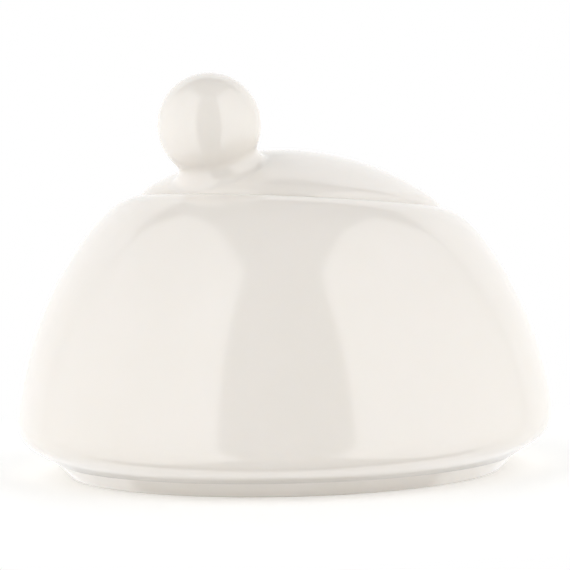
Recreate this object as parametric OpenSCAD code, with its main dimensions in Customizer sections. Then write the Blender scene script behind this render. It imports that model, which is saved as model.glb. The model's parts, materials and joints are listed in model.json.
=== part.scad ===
// Covered sugar bowl in glazed porcelain.
// A round dome-shaped bowl stands on a low foot ring. Its top is cut by a plane
// that slopes gently, high at -X and low at +X, and a domed lid closes the mouth
// flush with that cut. A ball knob sits off the lid's centre, on the high side.
// Z is up, and the origin is the centre of the face that the foot ring stands on.
// "Level" parts turn about Z. "Rim" parts turn about the sloping axis of the rim.

/* [Bowl] */
// Largest diameter of the bowl
body_d = 110; // [108:0.5:112]
// Height of the bowl's widest point
widest_z = 11.2; // [10.8:0.1:11.6]
// Thickness of the bowl's wall
wall = 3.2; // [2.6:0.1:3.6]
// Thickness of the bowl's floor
floor_t = 3.4; // [2.8:0.1:4]

/* [Rim] */
// Slope of the rim plane
rim_tilt = 5.6; // [5.3:0.1:5.9]
// Height of the rim's centre
rim_z = 54.8; // [54.4:0.1:55.2]
// Shift of the rim's centre towards the low side
rim_x = 3.4; // [3.2:0.1:3.6]
// Radius of the mouth at the rim
mouth_r = 31.9; // [31.8:0.1:32.1]

/* [Lid] */
// Radius of the lid's edge
lid_r = 31.6; // [31.4:0.1:31.7]
// Radius of the lid's outer dome
dome_r = 53.5; // [52:0.5:55]
// Rise of the lid's top above the rim plane
lid_rise = 10.9; // [10.5:0.1:11.3]
// Thickness of the lid's shell
lid_t = 3; // [2.6:0.1:3.4]
// Depth of the locating ring below the lid's seat
ring_depth = 5.8; // [5:0.1:7]

/* [Knob] */
// Radius of the ball
ball_r = 10.4; // [10:0.1:10.8]
// Height of the ball's centre above the lid's surface
ball_lift = 8.8; // [8.6:0.1:9]
// Lean of the knob's axis from the lid's axis
knob_lean = 25; // [23:0.5:25.5]
// Radius of the concave neck under the ball
neck_r = 2.6; // [2.4:0.1:2.8]

/* [Foot ring] */
// Height of the foot ring
foot_h = 2.9; // [2.7:0.1:3.1]
// Outer radius of the foot ring where it stands
foot_r = 44.3; // [44:0.1:44.6]
// Radius of the groove where the foot ring meets the bowl
groove_r = 47; // [46.8:0.1:47.2]
// Inner radius of the foot ring
foot_bore_r = 41; // [40:0.5:41.5]

/* [Hidden] */
$fn = 96;
ivory = "#f3f0ea";
bisque = "#e6dfd2";

// The bowl's side is three arcs that meet without a corner, and a straight underside
// that runs from the groove and touches the lowest arc
corner_r = 5.9;
belly_r = 27.5;
shoulder_r = 73;
shoulder_a = 9.2;
body_r = body_d / 2;
corner_c = [body_r - corner_r, widest_z];
under_reach = [groove_r, foot_h] - corner_c;
under_a = atan2(under_reach[1], under_reach[0]) + acos(corner_r / norm(under_reach));
belly_c = [body_r - belly_r, widest_z];
shoulder_c = belly_c - (shoulder_r - belly_r) * [cos(shoulder_a), sin(shoulder_a)];
apex_a = acos(-shoulder_c[0] / shoulder_r);

// The inside of the bowl
floor_z = foot_h + floor_t;
well_r = 8;
inner_r = shoulder_r - wall;
well_a = asin((floor_z + well_r - shoulder_c[1]) / inner_r);
well_c = [shoulder_c[0] + inner_r * cos(well_a) - well_r, floor_z + well_r];
inner_apex_a = acos(-shoulder_c[0] / inner_r);

// The lip rolls over from the side to the mouth, in two arcs and a small edge
lip_r = 10;
lip_side_r = 35;
lip_edge_r = 0.5;
lip_top_w = -0.25;
lip_top_a = 14;
lip_mid_a = 41;
lip_side_a = 55;
edge_c = [mouth_r + lip_edge_r, lip_top_w - lip_edge_r];
lip_c = edge_c - (lip_r - lip_edge_r) * [sin(lip_top_a), cos(lip_top_a)];
lip_side_c = lip_c - (lip_side_r - lip_r) * [sin(lip_mid_a), cos(lip_mid_a)];
lip_out = 45;

// The seat inside the mouth that carries the lid
seat_w = -2.5;
seat_clearance = 0.15;
seat_bore_r = 28.5;
seat_under_w = -5.2;
under_lip_r = 5;
under_lip_a = 52;
under_lip_x = 33;

// The lid, its edge and its locating ring
lid_edge_r = 5.2;
lid_seat_w = seat_w + seat_clearance;
dome_w = lid_rise - dome_r;
lid_edge_a = asin((lid_r - lid_edge_r) / (dome_r - lid_edge_r));
lid_edge_c = [lid_r - lid_edge_r, dome_w + (dome_r - lid_edge_r) * cos(lid_edge_a)];
ring_r = 28;
ring_bore_r = 25.2;
ring_edge = 0.7;

// The knob, measured along its own axis from the ball's centre. The neck's arc
// touches both the ball and the dome.
ball_c = dome_r + ball_lift;
neck_drop = ((ball_r + neck_r) ^ 2 + ball_c ^ 2 - (dome_r + neck_r) ^ 2) / (2 * ball_c);
neck_x = sqrt((ball_r + neck_r) ^ 2 - neck_drop ^ 2);
neck_a = atan2(neck_drop, neck_x);
toe_edge_a = 12;
toe_a = atan2(neck_x, ball_c - neck_drop) + toe_edge_a;
toe_x = neck_x - neck_r * sin(toe_a);
knob_root = ball_lift + 5;
toe_rise = 1.5;
toe_top = [dome_r * sin(lid_edge_a), dome_w + dome_r * cos(lid_edge_a) + toe_rise];
toe_side = [lid_r, 1];
knob_bore_r = 6.8;
vent_r = 1.2;

// The foot ring's rounded lower edges
foot_edge_r = 0.8;
foot_side_a = atan2(foot_h, groove_r - foot_r);
foot_edge_c = [foot_r - foot_edge_r * tan(foot_side_a / 2), foot_edge_r];

// Beyond every edge of the object
far = 90;

// Points along an arc about c, from angle a to angle b, anticlockwise from the X axis
function arc(c, r, a, b, steps = 12) =
    [for (i = [0:steps]) c + r * [cos(a + (b - a) * i / steps), sin(a + (b - a) * i / steps)]];

// Places its children on the rim plane, centred on the rim's own axis
module on_rim() {
    translate([rim_x, 0, rim_z]) rotate([0, rim_tilt, 0]) children();
}

// Places its children at the centre of the lid's dome, along the knob's axis
module on_knob_axis() {
    on_rim() translate([0, 0, dome_w]) rotate([0, -knob_lean, 0]) children();
}

// The bowl's outside before its top is cut
module level_dome() {
    rotate_extrude() polygon(concat(
        [[0, foot_h], [groove_r, foot_h]],
        arc(corner_c, corner_r, under_a, 0, 14),
        arc(belly_c, belly_r, 0, shoulder_a, 3),
        arc(shoulder_c, shoulder_r, shoulder_a, apex_a, 30)));
}

// The bowl's inside below its lip
module level_inside() {
    rotate_extrude() polygon(concat(
        [[0, floor_z]],
        arc(well_c, well_r, -90, well_a, 14),
        arc(shoulder_c, inner_r, well_a, inner_apex_a, 28)));
}

// All that lies under the rolled lip, about the rim's axis
module under_lip_top() {
    rotate_extrude() polygon(concat(
        [[0, -far], [0, 0], [mouth_r, 0]],
        arc(edge_c, lip_edge_r, 180, 90 - lip_top_a, 6),
        arc(lip_c, lip_r, 90 - lip_top_a, 90 - lip_mid_a, 10),
        arc(lip_side_c, lip_side_r, 90 - lip_mid_a, 90 - lip_side_a, 5),
        [lip_side_c + lip_side_r * [sin(lip_side_a), cos(lip_side_a)]
            + lip_out * [cos(lip_side_a), -sin(lip_side_a)],
         [far, -far]]));
}

// The space below the seat, about the rim's axis
module under_seat() {
    rotate_extrude() polygon(concat(
        [[0, -far], [0, seat_under_w]],
        arc([under_lip_x, seat_under_w - under_lip_r], under_lip_r, 90, 90 - under_lip_a, 6),
        [[under_lip_x, seat_under_w - under_lip_r]
            + under_lip_r * [sin(under_lip_a), cos(under_lip_a)]
            + lip_out * [cos(under_lip_a), -sin(under_lip_a)],
         [far, -far]]));
}

// Round bowl with its floor, rolled lip and lid seat
module bowl() {
    color(ivory) difference() {
        intersection() {
            level_dome();
            on_rim() under_lip_top();
        }
        intersection() {
            level_inside();
            on_rim() under_seat();
        }
        on_rim() translate([0, 0, seat_w]) cylinder(r = mouth_r, h = far);
        on_rim() translate([0, 0, seat_under_w - 1]) cylinder(r = seat_bore_r, h = far);
    }
}

// Low ring under the bowl, with a sloping outer side and a rounded edge
module foot_ring() {
    color(bisque) rotate_extrude() polygon(concat(
        [[foot_bore_r, foot_h]],
        arc([foot_bore_r + foot_edge_r, foot_edge_r], foot_edge_r, 180, 270, 6),
        arc(foot_edge_c, foot_edge_r, 270, 270 + foot_side_a, 5),
        [[groove_r, foot_h]]));
}

// The rolled edge of the lid, from its upright side to its dome
function lid_edge() = arc(lid_edge_c, lid_edge_r, 0, 90 - lid_edge_a, 8);

// Domed lid with a rounded edge, a flat seat and a vent under the knob
module lid() {
    color(ivory) difference() {
        on_rim() intersection() {
            translate([0, 0, dome_w]) sphere(r = dome_r);
            rotate_extrude() polygon(concat(
                [[0, lid_seat_w], [lid_r, lid_seat_w]],
                lid_edge(),
                [[lid_edge_c[0], dome_w + dome_r], [0, dome_w + dome_r]]));
        }
        on_rim() intersection() {
            translate([0, 0, dome_w]) sphere(r = dome_r - lid_t);
            translate([0, 0, lid_seat_w - 1]) cylinder(r = ring_bore_r, h = far);
        }
        on_knob_axis() cylinder(r = vent_r, h = dome_r + 1);
    }
}

// Plain ring under the lid that keeps it centred in the mouth
module locating_ring() {
    color(ivory) on_rim() rotate_extrude() polygon([
        [ring_bore_r, lid_seat_w],
        [ring_bore_r, lid_seat_w - ring_depth + ring_edge],
        [ring_bore_r + ring_edge, lid_seat_w - ring_depth],
        [ring_r - ring_edge, lid_seat_w - ring_depth],
        [ring_r, lid_seat_w - ring_depth + ring_edge],
        [ring_r, lid_seat_w]]);
}

// The ball and its neck, whose root reaches down into the lid's dome
module ball_and_neck() {
    on_knob_axis() translate([0, 0, ball_c]) rotate_extrude() polygon(concat(
        [[0, -knob_root], [toe_x, -knob_root]],
        arc([neck_x, -neck_drop], neck_r, 270 - toe_a, 180 - neck_a, 10),
        arc([0, 0], ball_r, -neck_a, 90, 32)));
}

// Hollow ball on a short concave neck that stands square on the lid's dome. The
// neck's outermost toe follows the lid's rolled edge down.
module knob() {
    color(ivory) {
        difference() {
            ball_and_neck();
            on_knob_axis() sphere(r = dome_r);
            on_knob_axis() translate([0, 0, ball_c]) sphere(r = knob_bore_r);
            on_knob_axis() cylinder(r = vent_r, h = ball_c);
        }
        intersection() {
            ball_and_neck();
            on_rim() rotate_extrude() polygon(concat(
                lid_edge(),
                [toe_top, toe_side]));
        }
    }
}

bowl();
foot_ring();
lid();
locating_ring();
knob();
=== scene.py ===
"""The looks of a covered sugar bowl in ivory porcelain with a clear, glossy glaze.

The bowl and its lid are turned shapes. The bowl stands level, and its lip, the
lid and the knob lean together on the rim's sloping axis. Lengths in outlines are
in millimetres, and everything that is placed is in metres.
"""
import json
from math import acos, asin, atan2, cos, degrees, pi, radians, sin, sqrt, tan

import bpy
from mathutils import Euler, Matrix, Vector


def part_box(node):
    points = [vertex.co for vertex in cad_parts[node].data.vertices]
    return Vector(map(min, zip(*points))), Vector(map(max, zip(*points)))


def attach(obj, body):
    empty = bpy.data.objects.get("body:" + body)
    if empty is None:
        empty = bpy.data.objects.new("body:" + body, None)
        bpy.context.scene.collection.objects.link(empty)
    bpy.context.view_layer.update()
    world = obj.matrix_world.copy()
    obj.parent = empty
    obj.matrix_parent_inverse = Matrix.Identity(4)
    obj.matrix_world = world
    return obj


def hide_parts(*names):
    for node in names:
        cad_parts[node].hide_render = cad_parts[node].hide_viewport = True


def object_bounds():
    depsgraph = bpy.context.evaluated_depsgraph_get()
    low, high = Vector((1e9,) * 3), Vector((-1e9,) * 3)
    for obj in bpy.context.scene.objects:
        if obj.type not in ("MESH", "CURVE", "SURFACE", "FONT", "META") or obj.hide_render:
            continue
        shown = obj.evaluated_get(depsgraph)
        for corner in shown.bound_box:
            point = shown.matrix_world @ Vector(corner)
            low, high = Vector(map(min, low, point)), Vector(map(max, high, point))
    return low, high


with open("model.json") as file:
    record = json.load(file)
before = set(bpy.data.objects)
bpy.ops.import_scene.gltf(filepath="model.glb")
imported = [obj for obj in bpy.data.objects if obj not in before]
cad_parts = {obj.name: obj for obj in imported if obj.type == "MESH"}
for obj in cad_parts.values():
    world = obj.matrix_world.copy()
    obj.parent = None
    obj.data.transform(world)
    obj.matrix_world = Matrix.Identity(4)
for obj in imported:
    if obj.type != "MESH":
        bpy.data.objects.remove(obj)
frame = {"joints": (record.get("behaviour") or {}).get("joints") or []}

cad_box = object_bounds()
MM = 0.001

# ---------------------------------------------------------------------------
# Camera. It looks a little down at the bowl from the front, from the side where
# the knob comes forward and to the left, and it is held very slightly askew.
camera_distance = 0.547
camera_height = 0.0689
camera_side = radians(220)
camera_pitch = radians(3.24)
camera_roll = radians(1.3)
camera_yaw = radians(0.064)

camera_data = bpy.data.cameras.new("studio_camera")
camera_data.sensor_width = 36
camera_data.lens = 167.8
camera = bpy.data.objects.new("studio_camera", camera_data)
camera.location = (camera_distance * cos(camera_side), camera_distance * sin(camera_side), camera_height)
looking = Euler((pi / 2 - camera_pitch, 0, camera_side + pi / 2 - camera_yaw)).to_matrix()
camera.rotation_euler = (looking @ Euler((0, 0, -camera_roll)).to_matrix()).to_euler()
bpy.context.scene.collection.objects.link(camera)
bpy.context.scene.camera = camera

# ---------------------------------------------------------------------------
# Bowl: one jiggered porcelain body, turned outside and in. Its side rises in one
# long curve, then rolls over into the lip, and a ledge inside the mouth carries
# the lid. The top of the soft clay is leaned over to one side, level by level.
lid_turn = next(j for j in frame["joints"] if j["name"] == "lid_turn")
rim_centre = Vector(lid_turn["pos_m"])
rim_axis = Vector(lid_turn["axis"]).normalized()
rim_tilt = atan2(rim_axis.x, rim_axis.z)
rim_z = rim_centre.z / MM
rim_x = rim_centre.x / MM

# Facets round a turned piece
ROUND = 192

body_r = (cad_box[1].x - cad_box[0].x) / 2 / MM
foot_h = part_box("foot_ring")[1].z / MM
groove_r = 47
corner_r, belly_r, shoulder_r = 5.9, 27.5, 73
widest_z = 11.2
shoulder_a = 9.2
wall, floor_t, well_r = 3.2, 3.4, 8
mouth_r = 31.9
lip_edge_r, lip_r, lip_top_w, lip_top_a, lip_mid_a = 0.5, 10, -0.25, 14, 41
seat_w, seat_bore_r, seat_under_w, under_lip_r = -2.5, 28.5, -5.2, 5


def arc(centre, radius, start, end, steps):
    """Points (radius, height) along an arc; angles are in degrees from the outward direction."""
    turn = [radians(start + (end - start) * i / steps) for i in range(steps + 1)]
    return [(centre[0] + radius * cos(a), centre[1] + radius * sin(a)) for a in turn]


def turned(name, outline):
    """Draws an outline point by point in the XZ plane and spins it round Z into a closed solid."""
    bpy.ops.object.select_all(action="DESELECT")
    first = Vector((outline[0][0], 0, outline[0][1])) * MM
    bpy.ops.mesh.primitive_plane_add(size=MM, location=first)
    piece = bpy.context.object
    piece.name = piece.data.name = name
    bpy.ops.object.mode_set(mode="EDIT")
    bpy.ops.mesh.merge(type="CENTER")
    for here, there in zip(outline, outline[1:]):
        step = ((there[0] - here[0]) * MM, 0, (there[1] - here[1]) * MM)
        bpy.ops.mesh.extrude_vertices_move(TRANSFORM_OT_translate={"value": step})
    bpy.ops.object.mode_set(mode="OBJECT")
    bpy.ops.object.transform_apply(location=True, rotation=True, scale=True)
    bpy.ops.object.mode_set(mode="EDIT")
    bpy.ops.mesh.select_all(action="SELECT")
    bpy.ops.mesh.spin(steps=ROUND, angle=2 * pi, center=(0, 0, 0), axis=(0, 0, 1))
    bpy.ops.mesh.select_all(action="SELECT")
    bpy.ops.mesh.remove_doubles(threshold=0.002 * MM)
    bpy.ops.mesh.normals_make_consistent(inside=False)
    bpy.ops.object.mode_set(mode="OBJECT")
    bpy.ops.object.shade_smooth()
    return piece


corner_c = (body_r - corner_r, widest_z)
belly_c = (body_r - belly_r, widest_z)
shoulder_c = (belly_c[0] - (shoulder_r - belly_r) * cos(radians(shoulder_a)),
              belly_c[1] - (shoulder_r - belly_r) * sin(radians(shoulder_a)))

# The underside runs straight from the groove and touches the corner's arc
reach = sqrt((corner_c[0] - groove_r) ** 2 + (corner_c[1] - foot_h) ** 2)
under_a = degrees(atan2(foot_h - corner_c[1], groove_r - corner_c[0]) + acos(corner_r / reach))

# The lip's arcs touch each other, and the outer one touches the shoulder's arc
edge_c = (mouth_r + lip_edge_r, rim_z + lip_top_w - lip_edge_r)
lip_c = (edge_c[0] - (lip_r - lip_edge_r) * sin(radians(lip_top_a)),
         edge_c[1] - (lip_r - lip_edge_r) * cos(radians(lip_top_a)))
out = (sin(radians(lip_mid_a)), cos(radians(lip_mid_a)))
gap = (lip_c[0] + lip_r * out[0] - shoulder_c[0], lip_c[1] + lip_r * out[1] - shoulder_c[1])
side_r = ((shoulder_r ** 2 - gap[0] ** 2 - gap[1] ** 2)
          / (2 * (shoulder_r - gap[0] * out[0] - gap[1] * out[1])))
side_c = (lip_c[0] + (lip_r - side_r) * out[0], lip_c[1] + (lip_r - side_r) * out[1])
side_a = degrees(atan2(side_c[1] - shoulder_c[1], side_c[0] - shoulder_c[0]))

# Inside, the wall follows the outside at an even thickness
inner_r = shoulder_r - wall
floor_z = foot_h + floor_t
well_a = asin((floor_z + well_r - shoulder_c[1]) / (inner_r - well_r))
well_c = (shoulder_c[0] + (inner_r - well_r) * cos(well_a), floor_z + well_r)
under_lip_z = rim_z + seat_under_w - under_lip_r
under_lip_a = asin((under_lip_z - shoulder_c[1]) / (inner_r - under_lip_r))
under_lip_c = (shoulder_c[0] + (inner_r - under_lip_r) * cos(under_lip_a), under_lip_z)
seat_z = rim_z + seat_w

bowl_outline = (
    [(0, foot_h), (20, foot_h), (40, foot_h), (46, foot_h), (groove_r, foot_h)]
    + arc(corner_c, corner_r, under_a, 0, 26)
    + arc(belly_c, belly_r, 0, shoulder_a, 5)[1:]
    + arc(shoulder_c, shoulder_r, shoulder_a, side_a, 40)[1:]
    + arc(side_c, side_r, side_a, 90 - lip_mid_a, 8)[1:]
    + arc(lip_c, lip_r, 90 - lip_mid_a, 90 - lip_top_a, 14)[1:]
    + arc(edge_c, lip_edge_r, 90 - lip_top_a, 180, 8)[1:]
    + arc((mouth_r - 0.3, seat_z + 0.3), 0.3, 0, -90, 4)
    + arc((seat_bore_r + 0.6, seat_z - 0.6), 0.6, 90, 180, 5)
    + arc((seat_bore_r + 1, rim_z + seat_under_w + 1), 1, 180, 270, 6)
    + [(31.5, rim_z + seat_under_w)]
    + arc(under_lip_c, under_lip_r, 90, degrees(under_lip_a), 8)
    + arc(shoulder_c, inner_r, degrees(under_lip_a), degrees(well_a), 36)[1:]
    + arc(well_c, well_r, degrees(well_a), -90, 18)[1:]
    + [(36, floor_z), (24, floor_z), (12, floor_z), (0, floor_z)]
)
bowl = turned("bowl_porcelain", bowl_outline)

# Each level above lean_z tips a little more, up to the rim's own slope, and slides
# towards the low side, because a tipped slice of a dome has its middle off the axis
lean_z, lean_top = 24, rim_z - 0.9
lever_top = (rim_x + (lean_top - rim_z) * sin(rim_tilt)) / tan(rim_tilt)
lever_growth = 0.738


def lean(z):
    """The tip, in radians, and the sideways shift, in millimetres, of the bowl's level z."""
    if z >= lean_top:
        return rim_tilt, rim_x + (z - rim_z) * sin(rim_tilt)
    share = max(0, (z - lean_z) / (lean_top - lean_z))
    tip = rim_tilt * share * share * (3 - 2 * share)
    return tip, (lever_top + lever_growth * (z - lean_top)) * tan(tip)


for vertex in bowl.data.vertices:
    level = vertex.co.z / MM
    if level > lean_z:
        tip, shift = lean(level)
        x = vertex.co.x
        vertex.co.x = x * cos(tip) + shift * MM
        vertex.co.z -= x * sin(tip)

# Glazed porcelain: ivory-white body under a clear glaze about 0.2 mm thick. The eye
# sees a pale, slightly warm white with a wet shine, faint cloudiness where the glaze
# is thicker, a very slow ripple in the shine, and a few pin-point specks.


def add_node(tree, kind, settings=None, links=None):
    """Adds one shader node, sets its values or properties, and links its inputs."""
    node = tree.nodes.new(kind)
    for name, value in (settings or {}).items():
        if isinstance(name, int) or name in node.inputs:
            node.inputs[name].default_value = value
        else:
            setattr(node, name, value)
    for name, output in (links or {}).items():
        tree.links.new(output, node.inputs[name])
    return node


def linear(colour, alpha=1):
    """An sRGB hex colour as the linear values that shaders take."""
    parts = [int(colour[i:i + 2], 16) / 255 for i in (1, 3, 5)]
    return [p / 12.92 if p <= 0.04045 else ((p + 0.055) / 1.055) ** 2.4 for p in parts] + [alpha]


def glazed_porcelain(name, thin, thick, ripple=1.0):
    """Clear glaze on ivory porcelain: thin and thick are its colours where the glaze is thin or thick."""
    material = bpy.data.materials.new(name)
    material.use_nodes = True
    tree = material.node_tree
    tree.nodes.clear()
    place = add_node(tree, "ShaderNodeTexCoord").outputs["Object"]
    clouds = add_node(tree, "ShaderNodeTexNoise",
                      {"Scale": 1 / (22 * MM), "Detail": 3.0, "Roughness": 0.55}, {"Vector": place})
    specks = add_node(tree, "ShaderNodeTexVoronoi",
                      {"Scale": 1 / (4.5 * MM), "Randomness": 1.0}, {"Vector": place})
    speck = add_node(tree, "ShaderNodeMapRange",
                     {"From Min": 0.02, "From Max": 0.035, "To Min": 1.0, "To Max": 0.0},
                     {"Value": specks.outputs["Distance"]})
    tone = add_node(tree, "ShaderNodeValToRGB", links={"Fac": clouds.outputs["Fac"]})
    tone.color_ramp.elements[0].position, tone.color_ramp.elements[0].color = 0.3, linear(thin)
    tone.color_ramp.elements[1].position, tone.color_ramp.elements[1].color = 0.7, linear(thick)
    speckled = add_node(tree, "ShaderNodeMix", {"data_type": "RGBA"})
    tree.links.new(add_node(tree, "ShaderNodeMath", {"operation": "MULTIPLY", 1: 0.08},
                            {0: speck.outputs["Result"]}).outputs[0], speckled.inputs[0])
    tree.links.new(tone.outputs["Color"], speckled.inputs[6])
    speckled.inputs[7].default_value = linear("#b9a88e")
    slow = add_node(tree, "ShaderNodeTexNoise",
                    {"Scale": 1 / (16 * MM), "Detail": 1.0}, {"Vector": place})
    peel = add_node(tree, "ShaderNodeTexNoise",
                    {"Scale": 1 / (2.2 * MM), "Detail": 2.0}, {"Vector": place})
    slow_bump = add_node(tree, "ShaderNodeBump", {"Strength": 0.35 * ripple, "Distance": 0.10 * MM},
                         {"Height": slow.outputs["Fac"]})
    bump = add_node(tree, "ShaderNodeBump", {"Strength": 0.10 * ripple, "Distance": 0.02 * MM},
                    {"Height": peel.outputs["Fac"], "Normal": slow_bump.outputs["Normal"]})
    smooth = add_node(tree, "ShaderNodeMapRange", {"To Min": 0.10, "To Max": 0.15},
                      {"Value": clouds.outputs["Fac"]})
    glaze = add_node(tree, "ShaderNodeBsdfPrincipled",
                     {"IOR": 1.58, "Subsurface Weight": 0.12, "Subsurface Scale": 1.2 * MM,
                      "Subsurface Radius": (1.0, 0.8, 0.6)},
                     {"Base Color": speckled.outputs[2], "Roughness": smooth.outputs["Result"],
                      "Normal": bump.outputs["Normal"]})
    add_node(tree, "ShaderNodeOutputMaterial", links={"Surface": glaze.outputs[0]})
    return material


def bare_porcelain(name, colour):
    """Unglazed fired porcelain, wiped clean before firing: dry, faintly gritty and a touch greyer."""
    material = bpy.data.materials.new(name)
    material.use_nodes = True
    tree = material.node_tree
    tree.nodes.clear()
    place = add_node(tree, "ShaderNodeTexCoord").outputs["Object"]
    grit = add_node(tree, "ShaderNodeTexNoise",
                    {"Scale": 1 / (0.6 * MM), "Detail": 4.0, "Roughness": 0.6}, {"Vector": place})
    tone = add_node(tree, "ShaderNodeValToRGB", links={"Fac": grit.outputs["Fac"]})
    tone.color_ramp.elements[0].position, tone.color_ramp.elements[0].color = 0.35, linear("#cfc6b6")
    tone.color_ramp.elements[1].position, tone.color_ramp.elements[1].color = 0.65, linear(colour)
    bump = add_node(tree, "ShaderNodeBump", {"Strength": 0.5, "Distance": 0.05 * MM},
                    {"Height": grit.outputs["Fac"]})
    body = add_node(tree, "ShaderNodeBsdfPrincipled", {"IOR": 1.5, "Roughness": 0.7},
                    {"Base Color": tone.outputs["Color"], "Normal": bump.outputs["Normal"]})
    add_node(tree, "ShaderNodeOutputMaterial", links={"Surface": body.outputs[0]})
    return material


porcelain = glazed_porcelain("clear_glazed_ivory_porcelain", "#e8e3dd", "#e6e1da")
bare = bare_porcelain("bare_fired_porcelain", "#e2dbce")


def finish_with(piece, material, bare_where=None):
    """Gives a piece its glaze, and bare porcelain on the faces where bare_where(centre) is true."""
    piece.data.materials.clear()
    piece.data.materials.append(material)
    if bare_where:
        piece.data.materials.append(bare)
        for face in piece.data.polygons:
            if bare_where(face.center / MM):
                face.material_index = 1


def across_rim(centre):
    """A point's height above the rim plane and its distance from the rim's axis, in millimetres."""
    from_rim = centre * MM - rim_centre
    along = from_rim.dot(rim_axis)
    return along / MM, (from_rim - rim_axis * along).length / MM


def on_ledge(centre):
    """Whether a point lies on the ledge in the mouth, which is wiped clean to carry the lid."""
    along, across = across_rim(centre)
    return abs(along - seat_w) < 0.05 and seat_bore_r + 0.5 < across < mouth_r - 0.2


finish_with(bowl, porcelain, on_ledge)
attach(bowl, "bowl")
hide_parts("bowl")

# ---------------------------------------------------------------------------
# Foot ring: a low ring under the bowl, turned with a sloping outer side. The glaze
# runs down its side and fills the groove above it; the standing edge is wiped bare.
foot_r, foot_bore_r, foot_edge_r, groove_fill = 44.3, 41, 0.8, 0.35
foot_side = atan2(foot_h, groove_r - foot_r)
foot_edge_c = (foot_r - foot_edge_r * tan(foot_side / 2), foot_edge_r)
under_slope = radians(90 + under_a)

# The glaze in the groove touches the ring's side and the bowl's underside
half_open = (pi - foot_side + under_slope) / 2
toe = groove_fill / tan(half_open)
fill_c = (groove_r - toe * cos(foot_side) + groove_fill * sin(foot_side),
          foot_h - toe * sin(foot_side) - groove_fill * cos(foot_side))
foot_outline = (
    [(foot_bore_r, foot_h), (foot_bore_r, 1.6)]
    + arc((foot_bore_r + foot_edge_r, foot_edge_r), foot_edge_r, 180, 270, 6)
    + [(43, 0)]
    + arc(foot_edge_c, foot_edge_r, 270, 270 + degrees(foot_side), 8)
    + arc(fill_c, groove_fill, 90 + degrees(foot_side), 90 + degrees(under_slope), 6)
    + [(groove_r, foot_h + 0.03), (45, foot_h + 0.03), (foot_bore_r, foot_h)]
)
foot = turned("foot_porcelain", foot_outline)
finish_with(foot, porcelain, lambda centre: centre.z < 0.08)
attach(foot, "bowl")
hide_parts("foot_ring")

# ---------------------------------------------------------------------------
# Lid: a thin dome whose edge rolls over to an upright side, so that it lies flush in
# the mouth. Its flat seat is wiped bare. A pin hole under the knob lets air out in
# the kiln. The ring that centres it is luted on underneath.
dome_r, lid_rise, lid_t, lid_r, lid_edge_r = 53.5, 10.9, 3, 31.6, 5.2
ring_r, ring_bore_r, ring_depth, vent_r = 28, 25.2, 5.8, 1.2
ball_r, ball_lift, knob_lean, neck_r = 10.4, 8.8, radians(25), 2.6
lid_seat = seat_w + 0.15
dome_w = lid_rise - dome_r
edge_a = asin((lid_r - lid_edge_r) / (dome_r - lid_edge_r))
lid_edge_c = (lid_r - lid_edge_r, dome_w + (dome_r - lid_edge_r) * cos(edge_a))
inside_r = dome_r - lid_t
crook_r = 1.5
crook_a = asin((ring_bore_r - crook_r) / (inside_r - crook_r))
crook_c = (ring_bore_r - crook_r, dome_w + (inside_r - crook_r) * cos(crook_a))
lid_outline = (
    arc((0, dome_w), dome_r, 90, 90 - degrees(edge_a), 40)
    + arc(lid_edge_c, lid_edge_r, 90 - degrees(edge_a), 0, 14)[1:]
    + arc((lid_r - 0.2, lid_seat + 0.2), 0.2, 0, -90, 4)
    + [(30, lid_seat), (28.6, lid_seat), (26.6, lid_seat), (ring_bore_r, lid_seat)]
    + arc(crook_c, crook_r, 0, 90 - degrees(crook_a), 6)
    + arc((0, dome_w), inside_r, 90 - degrees(crook_a), 90, 30)[1:]
)


def on_rim(piece):
    """Places a piece that was turned about Z on the rim's own centre and axis."""
    bpy.ops.object.select_all(action="DESELECT")
    piece.select_set(True)
    bpy.context.view_layer.objects.active = piece
    piece.rotation_euler = (0, rim_tilt, 0)
    piece.location = rim_centre
    bpy.ops.object.transform_apply(location=True, rotation=True, scale=True)


lid = turned("lid_porcelain", lid_outline)
on_rim(lid)
knob_tip = rim_tilt - knob_lean
knob_axis = Vector((sin(knob_tip), 0, cos(knob_tip)))
dome_centre = rim_centre + rim_axis * dome_w * MM

bpy.ops.object.select_all(action="DESELECT")
bpy.ops.mesh.primitive_cylinder_add(vertices=32, radius=vent_r * MM, depth=3 * lid_t * MM,
                                    location=dome_centre + knob_axis * (dome_r - lid_t / 2) * MM,
                                    rotation=(0, knob_tip, 0))
drill = bpy.context.object
vent = lid.modifiers.new("vent", "BOOLEAN")
vent.operation, vent.object = "DIFFERENCE", drill
bpy.context.view_layer.objects.active = lid
bpy.ops.object.modifier_apply(modifier=vent.name)
bpy.data.objects.remove(drill)


def on_lid_seat(centre):
    """Whether a point lies on the lid's flat seat."""
    along, across = across_rim(centre)
    return abs(along - lid_seat) < 0.05 and ring_r + 0.4 < across < lid_r - 0.3


finish_with(lid, porcelain, on_lid_seat)
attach(lid, "lid")
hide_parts("lid")

# ---------------------------------------------------------------------------
# Locating ring: a plain round-edged ring of the same porcelain, stuck to the lid's
# seat with slip, which leaves a small hollow fillet where they join.
ring_low = lid_seat - ring_depth
ring_round, ring_fillet = 1.1, 0.8
ring_outline = (
    [(ring_bore_r, lid_seat), (ring_bore_r, lid_seat - 2)]
    + arc((ring_bore_r + ring_round, ring_low + ring_round), ring_round, 180, 270, 8)
    + arc((ring_r - ring_round, ring_low + ring_round), ring_round, 270, 360, 8)
    + arc((ring_r + ring_fillet, lid_seat - ring_fillet), ring_fillet, 180, 95, 6)
    + [(ring_r, lid_seat), (ring_bore_r, lid_seat)]
)
ring = turned("ring_porcelain", ring_outline)
on_rim(ring)
finish_with(ring, porcelain)
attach(ring, "lid_guide")
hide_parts("locating_ring")

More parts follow.
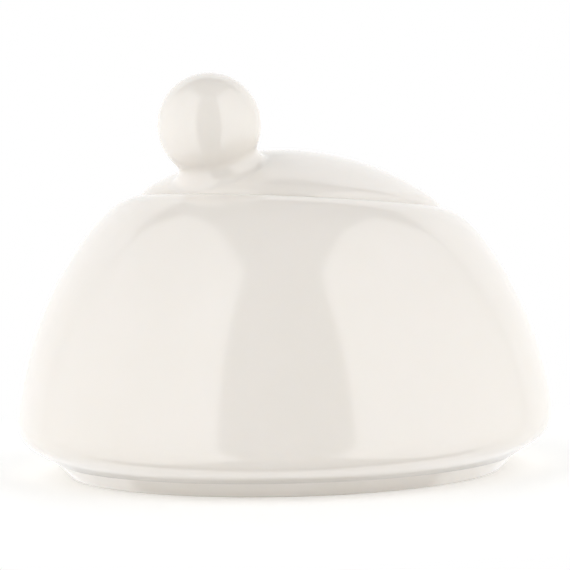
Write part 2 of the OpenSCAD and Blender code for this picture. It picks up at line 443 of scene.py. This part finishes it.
# ---------------------------------------------------------------------------
# Knob: a hollow cast ball on a short neck, stuck square on the dome with slip and
# wiped to a smooth hollow curve. The neck's outermost toe runs out over the lid's
# rolled edge.
ball_c = dome_r + ball_lift
neck_drop = (((ball_r + neck_r) ** 2 + ball_c ** 2 - (dome_r + neck_r) ** 2) / (2 * ball_c))
neck_x = sqrt((ball_r + neck_r) ** 2 - neck_drop ** 2)
neck_a = degrees(atan2(neck_drop, neck_x))
toe_a = atan2(neck_x, ball_c - neck_drop)
knob_bore_r = 6.8
sunk_r = dome_r - 0.15
vent_foot = -ball_c + sqrt(sunk_r ** 2 - vent_r ** 2)
bore_a = degrees(asin(vent_r / knob_bore_r))
# The slip under the neck: how far along the dome each point is, and how deep in it
slip = [((toe_a + run / dome_r), dome_r - deep) for run, deep in ((0.4, 0.02), (0.7, 0.07), (-0.1, 0.15))]
slip += [(toe_a * share, sunk_r) for share in (0.6, 0.3)]
knob_outline = (
    arc((0, 0), ball_r, 90, -neck_a, 64)
    + arc((neck_x, -neck_drop), neck_r, 180 - neck_a, 270 - degrees(toe_a), 20)[1:]
    + [(reach * sin(a), reach * cos(a) - ball_c) for a, reach in slip]
    + [(vent_r, vent_foot)]
    + arc((0, 0), knob_bore_r, -90 + bore_a, 90, 24)
)
knob = turned("knob_porcelain", knob_outline)


def over_edge(along, across):
    """Where a point on or above the dome goes when the dome rolls over into the lid's edge."""
    beyond = (atan2(across, along - dome_w) - edge_a) * dome_r / lid_edge_r
    if beyond <= 0:
        return along, across
    reach = lid_edge_r + sqrt(across ** 2 + (along - dome_w) ** 2) - dome_r
    return lid_edge_c[1] + reach * cos(edge_a + beyond), lid_edge_c[0] + reach * sin(edge_a + beyond)


bpy.ops.object.select_all(action="DESELECT")
knob.select_set(True)
bpy.context.view_layer.objects.active = knob
bend_start = neck_drop - 1
low = [max(0, min(1, (-v.co.z / MM - bend_start) / (ball_lift - bend_start)))
       for v in knob.data.vertices]
knob.rotation_euler = (0, knob_tip, 0)
knob.location = dome_centre + knob_axis * ball_c * MM
bpy.ops.object.transform_apply(location=True, rotation=True, scale=True)
for vertex, share in zip(knob.data.vertices, low):
    along, across = across_rim(vertex.co / MM)
    new_along, new_across = over_edge(along, across)
    share = share * share * (3 - 2 * share)
    outward = (vertex.co - rim_centre - rim_axis * along * MM).normalized()
    vertex.co += (rim_axis * (new_along - along) + outward * (new_across - across)) * share * MM

finish_with(knob, porcelain)
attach(knob, "lid")
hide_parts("knob")

# ---------------------------------------------------------------------------
# Studio: a plain white floor that the glaze doesn't mirror, upright soft lights to
# the left and right with a dark gap towards the camera, a dimmer one behind, and white
# all round. Each panel: name, side in degrees from the camera's own, width, height
# above the floor, and its glow from one upright edge to the other.
bpy.ops.object.select_all(action="DESELECT")
floor_size, floor_glow, world_glow = 6, 0.17, 0.22
bpy.ops.mesh.primitive_plane_add(size=floor_size, location=(0, 0, 0))
floor = bpy.context.object
floor.name = "studio_floor"
floor_paint = bpy.data.materials.new("white_floor_paint")
floor_paint.use_nodes = True
floor_shader = floor_paint.node_tree.nodes["Principled BSDF"]
floor_shader.inputs["Base Color"].default_value = linear("#f7f7f6")
floor_shader.inputs["Roughness"].default_value = 0.6
floor_tree = floor_paint.node_tree
floor_shader.inputs["Emission Color"].default_value = (1, 1, 1, 1)
floor_shader.inputs["Emission Strength"].default_value = floor_glow

# Away from the bowl the camera sees the floor as plain white
floor_place = add_node(floor_tree, "ShaderNodeTexCoord").outputs["Object"]
floor_reach = add_node(floor_tree, "ShaderNodeVectorMath", {"operation": "LENGTH"}, {0: floor_place})
floor_fade = add_node(floor_tree, "ShaderNodeMapRange", {"From Min": 0.05, "From Max": 0.13},
                      {"Value": floor_reach.outputs["Value"]})
floor_seen = add_node(floor_tree, "ShaderNodeMath", {"operation": "MULTIPLY"},
                      {0: floor_fade.outputs["Result"],
                       1: add_node(floor_tree, "ShaderNodeLightPath").outputs["Is Camera Ray"]})
floor_white = add_node(floor_tree, "ShaderNodeEmission", {"Strength": 1.0})
floor_mix = add_node(floor_tree, "ShaderNodeMixShader",
                     links={0: floor_seen.outputs[0], 1: floor_shader.outputs[0], 2: floor_white.outputs[0]})
floor_tree.links.new(floor_mix.outputs[0], floor_tree.nodes["Material Output"].inputs["Surface"])
floor.data.materials.append(floor_paint)
floor.visible_glossy = False

panel_distance = 0.8
panels = (("soft_panel_left", -74, 1.68, 1.96, 0.87, 1.88),
          ("soft_panel_right", 74, 1.64, 1.85, 1.88, 0.87),
          ("back_panel", 180, 2.6, 1.2, 0.92, 0.92))
for name, side, width, top, low_glow, high_glow in panels:
    light_data = bpy.data.lights.new(name, "AREA")
    light_data.shape = "RECTANGLE"
    light_data.size, light_data.size_y = width, 2 * top
    light_data.energy = pi * width * 2 * top
    light_data.use_nodes = True
    light_tree = light_data.node_tree
    light_tree.nodes.clear()
    place = add_node(light_tree, "ShaderNodeNewGeometry").outputs["Parametric"]
    along = add_node(light_tree, "ShaderNodeSeparateXYZ", links={0: place}).outputs[0]
    glow = add_node(light_tree, "ShaderNodeMapRange",
                    {"To Min": low_glow, "To Max": high_glow}, {"Value": along})
    panel = add_node(light_tree, "ShaderNodeEmission", links={"Strength": glow.outputs["Result"]})
    add_node(light_tree, "ShaderNodeOutputLight", links={"Surface": panel.outputs[0]})
    light = bpy.data.objects.new(name, light_data)
    turn = camera_side + radians(side)
    light.location = (panel_distance * cos(turn), panel_distance * sin(turn), 0)
    light.rotation_euler = (pi / 2, 0, turn + pi / 2)
    light.visible_camera = False
    bpy.context.scene.collection.objects.link(light)

world = bpy.data.worlds.new("studio_white")
world.use_nodes = True
world_tree = world.node_tree
world_tree.nodes.clear()
ray = add_node(world_tree, "ShaderNodeLightPath")
strength = add_node(world_tree, "ShaderNodeMapRange", {"To Min": world_glow, "To Max": 1.0},
                    {"Value": ray.outputs["Is Camera Ray"]})
white = add_node(world_tree, "ShaderNodeBackground", {"Color": (1, 1, 1, 1)},
                 {"Strength": strength.outputs["Result"]})
add_node(world_tree, "ShaderNodeOutputWorld", links={"Surface": white.outputs[0]})
bpy.context.scene.world = world
bpy.context.scene.view_settings.view_transform = "Standard"
